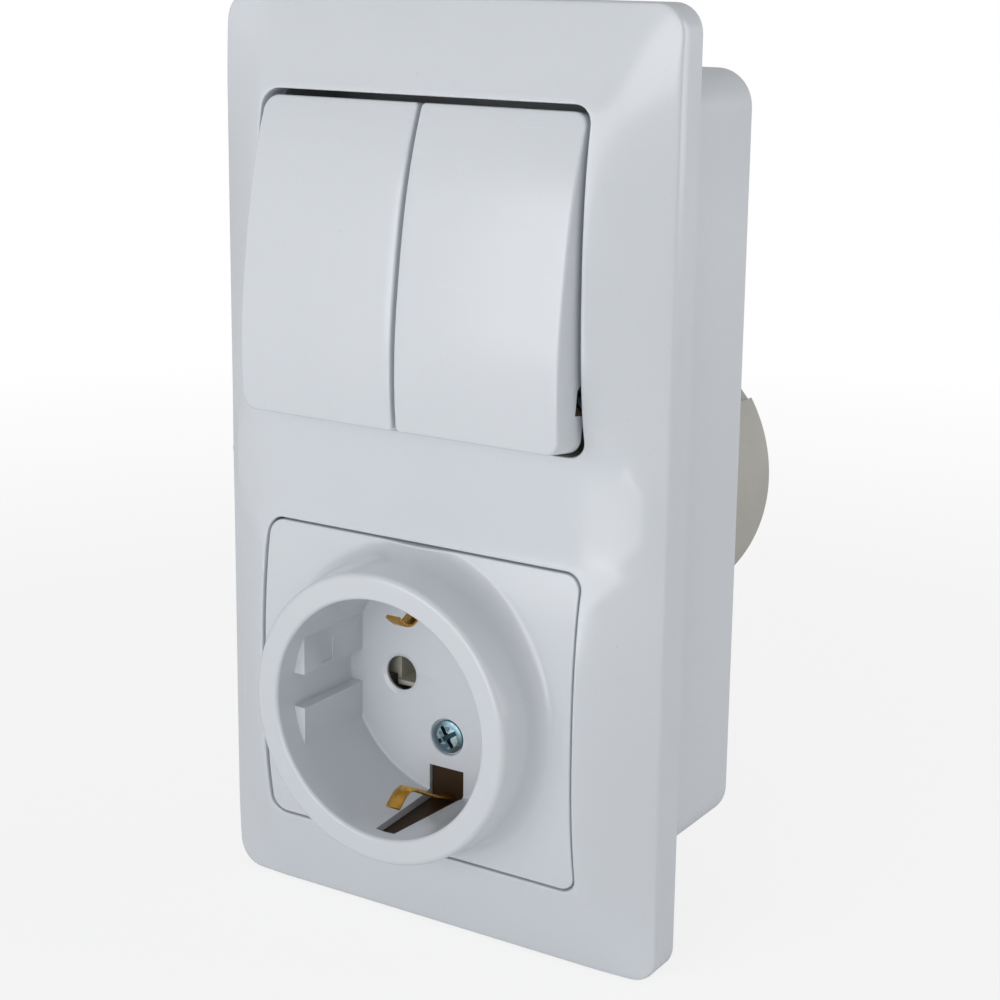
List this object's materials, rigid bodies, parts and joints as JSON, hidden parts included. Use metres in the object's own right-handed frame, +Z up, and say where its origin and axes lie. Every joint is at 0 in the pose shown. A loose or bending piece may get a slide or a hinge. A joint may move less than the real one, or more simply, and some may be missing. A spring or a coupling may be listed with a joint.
{
  "type": "switch and socket combination",
  "caption": "White flush wall unit with split rocker switches above an earthed round-well socket in a shared arched frame, with rear housing and round cup.",
  "frame": {"origin": "midway between the two fixing screws, on the back face of the rear housing and on the round cup's axis", "axes": "+X to the right seen from the front, +Y into the wall, +Z up"},
  "size_m": [0.0844, 0.084, 0.1535],
  "materials": {
    "white_plastic": "glossy moulded, faint moulding marks",
    "beige_plastic": "moulded, slightly matt",
    "grey_beige_plastic": "moulded, slightly matt, scuffed",
    "brass_strip": "punched spring strip",
    "tinned_strip": "punched spring strip, tinned, dull",
    "browned_strip": "punched strip, browned",
    "zinc_steel": "blue zinc plated"
  },
  "bodies": {
    "base": {"front_frame": "white_plastic", "switch_base": "beige_plastic", "common_contact": "brass_strip", "fixed_contact_left": "brass_strip", "fixed_contact_right": "brass_strip", "switch_terminal_screws": "zinc_steel", "switch_base_screws": "zinc_steel", "socket_cover": "white_plastic", "cover_screw": "zinc_steel", "earth_strap": "browned_strip", "live_contact_left": "tinned_strip", "live_contact_right": "tinned_strip", "socket_terminal_screws": "zinc_steel", "socket_base": "beige_plastic", "socket_base_screws": "zinc_steel", "rear_housing": "white_plastic", "rear_cup": "grey_beige_plastic", "rear_cup_screws": "zinc_steel"},
    "rocker_left_body": {"rocker_left": "white_plastic", "rocker_yoke_left": "beige_plastic", "plunger_left": "zinc_steel", "plunger_spring_left": "zinc_steel"},
    "rocker_right_body": {"rocker_right": "white_plastic", "rocker_yoke_right": "beige_plastic", "plunger_right": "zinc_steel", "plunger_spring_right": "zinc_steel"},
    "contact_left_body": {"contact_rocker_left": "brass_strip"},
    "contact_right_body": {"contact_rocker_right": "brass_strip"}
  },
  "joints": [
    {"name": "rocker_left_hinge", "type": "hinge", "parent": "base", "child": "rocker_left_body", "pos_m": [-0.01507, -0.032, 0.0446], "axis": [1, 0, 0], "range_deg": [0, 15.8]},
    {"name": "contact_left_hinge", "type": "hinge", "parent": "base", "child": "contact_left_body", "pos_m": [-0.01507, -0.0178, 0.0446], "axis": [1, 0, 0], "range_deg": [-14, 0]},
    {"name": "rocker_right_hinge", "type": "hinge", "parent": "base", "child": "rocker_right_body", "pos_m": [0.01507, -0.032, 0.0446], "axis": [1, 0, 0], "range_deg": [0, 15.8]},
    {"name": "contact_right_hinge", "type": "hinge", "parent": "base", "child": "contact_right_body", "pos_m": [0.01507, -0.0178, 0.0446], "axis": [1, 0, 0], "range_deg": [-14, 0]}
  ],
  "couplings": [
    {"joint": "contact_left_hinge", "follows": "rocker_left_hinge", "ratio": -0.886},
    {"joint": "contact_right_hinge", "follows": "rocker_right_hinge", "ratio": -0.886}
  ]
}
